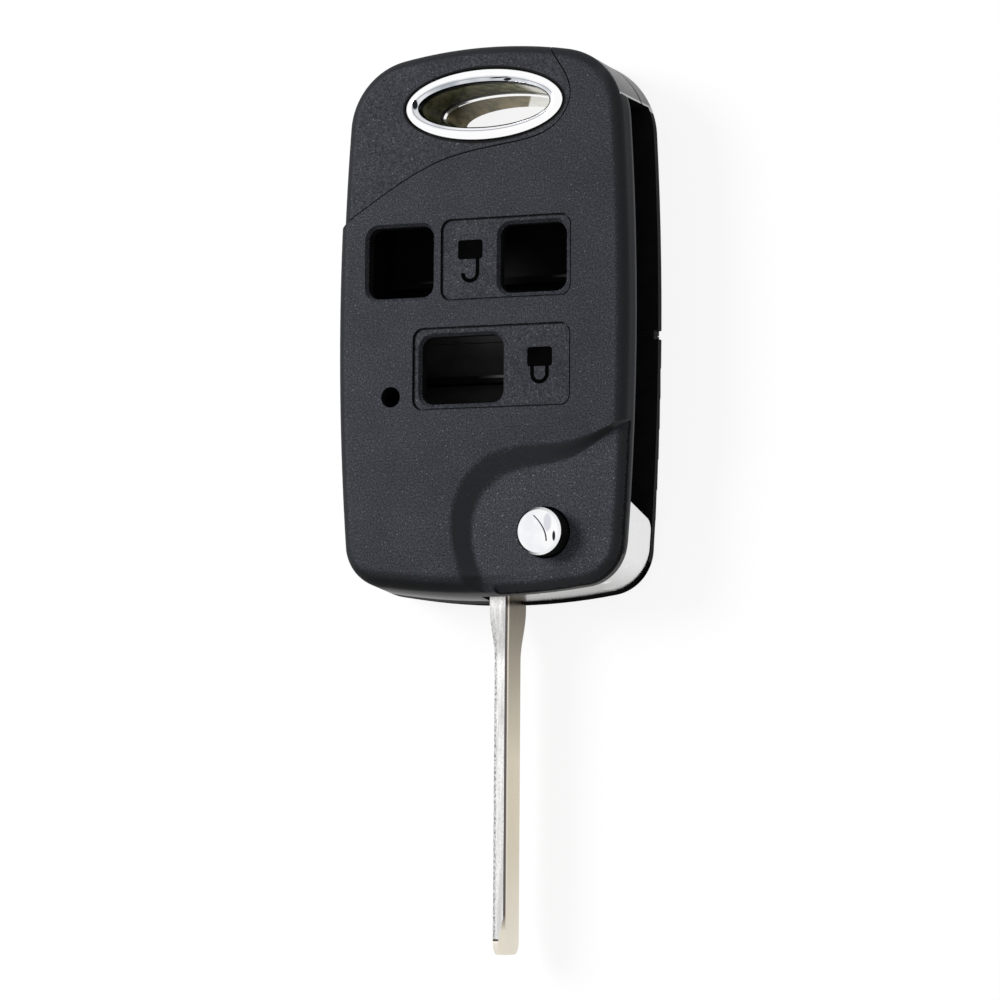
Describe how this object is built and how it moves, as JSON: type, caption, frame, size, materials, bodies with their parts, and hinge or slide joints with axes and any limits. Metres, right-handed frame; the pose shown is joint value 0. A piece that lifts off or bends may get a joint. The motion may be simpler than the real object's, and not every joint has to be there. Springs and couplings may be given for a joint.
{
  "type": "flip key remote shell",
  "caption": "Flip key remote shell with a blade blank that folds into its side, a release button, open button windows and an oval key-ring tunnel.",
  "frame": {"origin": "centre of the whole key's footprint, on the back face of the case", "axes": "+Z out of the face with the windows, -Y along the blade to its tip, +X to the side that the blade folds into"},
  "size_m": [0.0394, 0.1132, 0.0144],
  "materials": {
    "front_cover": "fine textured charcoal",
    "rear_cover": "smooth black",
    "board_lid": "smooth black",
    "ring_plating": "bright plated",
    "head_silver": "satin silver",
    "blade_nickel": "nickel plated",
    "steel": "plain",
    "button_chrome": "bright plated",
    "screw_steel": "dark zinc"
  },
  "bodies": {
    "housing": {"front_cover": "front_cover", "rear_cover": "rear_cover", "board_lid": "board_lid", "front_ring": "ring_plating", "rear_ring": "ring_plating", "spring_cup": "steel", "flip_spring": "steel", "case_screws": "screw_steel"},
    "flip_arm": {"flip_head": "head_silver", "key_blade": "blade_nickel", "blade_pin": "steel"},
    "button": {"release_button": "button_chrome"}
  },
  "joints": [
    {"name": "blade_flip", "type": "hinge", "parent": "housing", "child": "flip_arm", "pos_m": [0.00863, -0.00465, 0.0057], "axis": [0, 0, 1], "range_deg": [0, 180], "stiffness_Nm_per_rad": 0.015, "springref_deg": -45.84},
    {"name": "release_press", "type": "slide", "parent": "flip_arm", "child": "button", "axis": [0, 0, -1], "range_m": [0, 0.0022], "stiffness_N_per_m": 1200, "springref_m": -0.001, "deforming": ["flip_spring"]}
  ]
}
